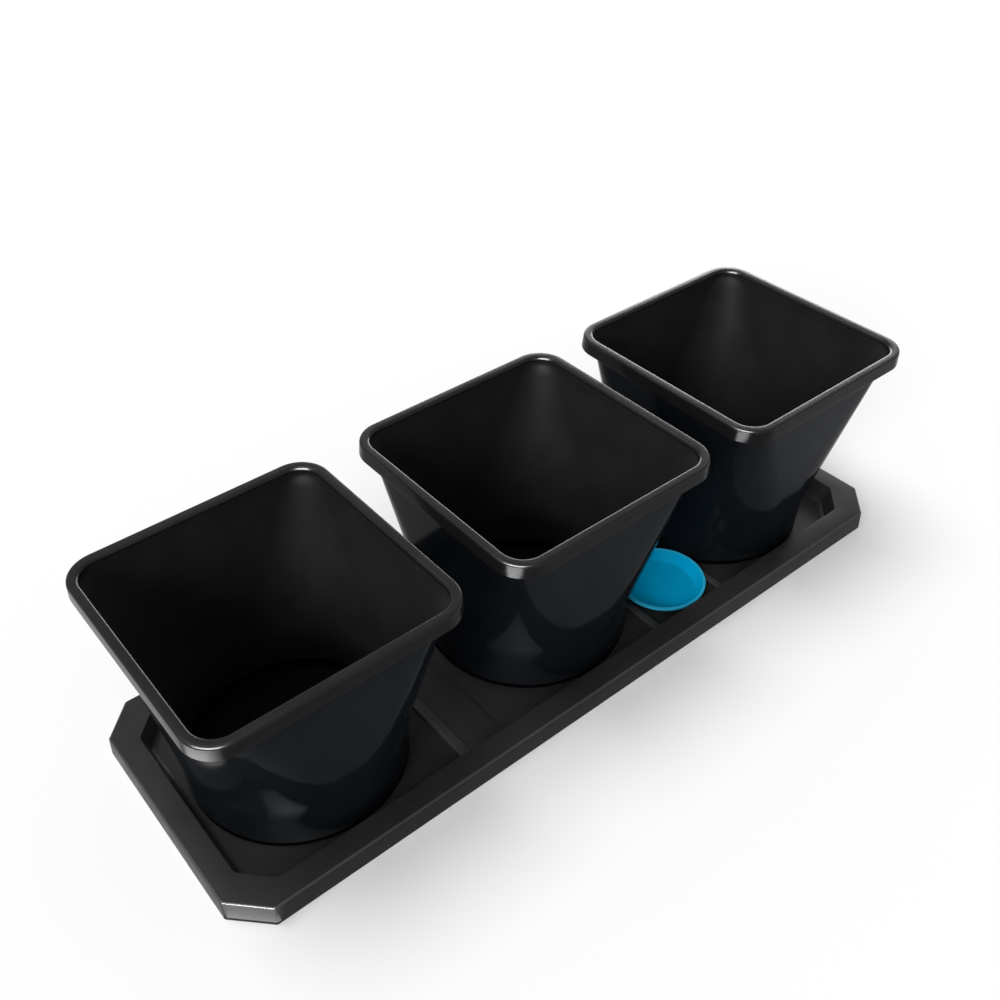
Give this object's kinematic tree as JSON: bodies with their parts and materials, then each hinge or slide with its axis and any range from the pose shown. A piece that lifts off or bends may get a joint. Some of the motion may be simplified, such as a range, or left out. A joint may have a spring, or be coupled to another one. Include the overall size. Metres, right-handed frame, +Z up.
{
  "type": "hydroponic pot system",
  "caption": "Long shallow watering tray holding square-rimmed pots in a row, fed through a float valve whose open blue dish keeps the water level.",
  "frame": {"origin": "on the ground under the middle of the tray", "axes": "+X along the tray from the first pot to the last, +Y towards the back where the hose tail points, +Z up"},
  "size_m": [1.006, 0.334, 0.2608],
  "materials": {
    "tray_black": "satin moulded polypropylene",
    "pot_black": "glossy moulded polypropylene",
    "dish_blue": "glossy moulded polypropylene",
    "felt": "needled root-control felt",
    "acetal_grey": "moulded acetal",
    "acetal_white": "moulded acetal",
    "silicone": "moulded silicone",
    "rubber_black": "moulded nitrile rubber",
    "steel": "stainless steel"
  },
  "bodies": {
    "base": {"tray": "tray_black", "valve_body": "acetal_grey", "nozzle": "acetal_white", "hose_tail": "acetal_grey", "hose_tail_o_ring": "rubber_black", "inlet_strainer": "acetal_white", "pivot_pin": "steel", "valve_screw_1": "steel", "valve_screw_2": "steel"},
    "pot_a": {"pot_1": "pot_black", "root_screen_1": "felt"},
    "pot_b": {"pot_2": "pot_black", "root_screen_2": "felt"},
    "pot_c": {"pot_3": "pot_black", "root_screen_3": "felt"},
    "cover": {"valve_cover": "tray_black"},
    "float": {"float_arm": "acetal_grey", "seal_pad": "silicone", "float_dish": "dish_blue", "float_screw_1": "steel", "float_screw_2": "steel"}
  },
  "joints": [
    {"name": "pot_1_lift", "type": "slide", "parent": "base", "child": "pot_a", "axis": [0, 0, 1], "range_m": [0, 0.3]},
    {"name": "pot_2_lift", "type": "slide", "parent": "base", "child": "pot_b", "axis": [0, 0, 1], "range_m": [0, 0.3]},
    {"name": "pot_3_lift", "type": "slide", "parent": "base", "child": "pot_c", "axis": [0, 0, 1], "range_m": [0, 0.3]},
    {"name": "valve_cover_lift", "type": "slide", "parent": "base", "child": "cover", "axis": [0, 0, 1], "range_m": [0, 0.05]},
    {"name": "float_arm_hinge", "type": "hinge", "parent": "base", "child": "float", "pos_m": [0.168, 0.002, 0.021], "axis": [-1, 0, 0], "range_deg": [0, 6.5]}
  ]
}
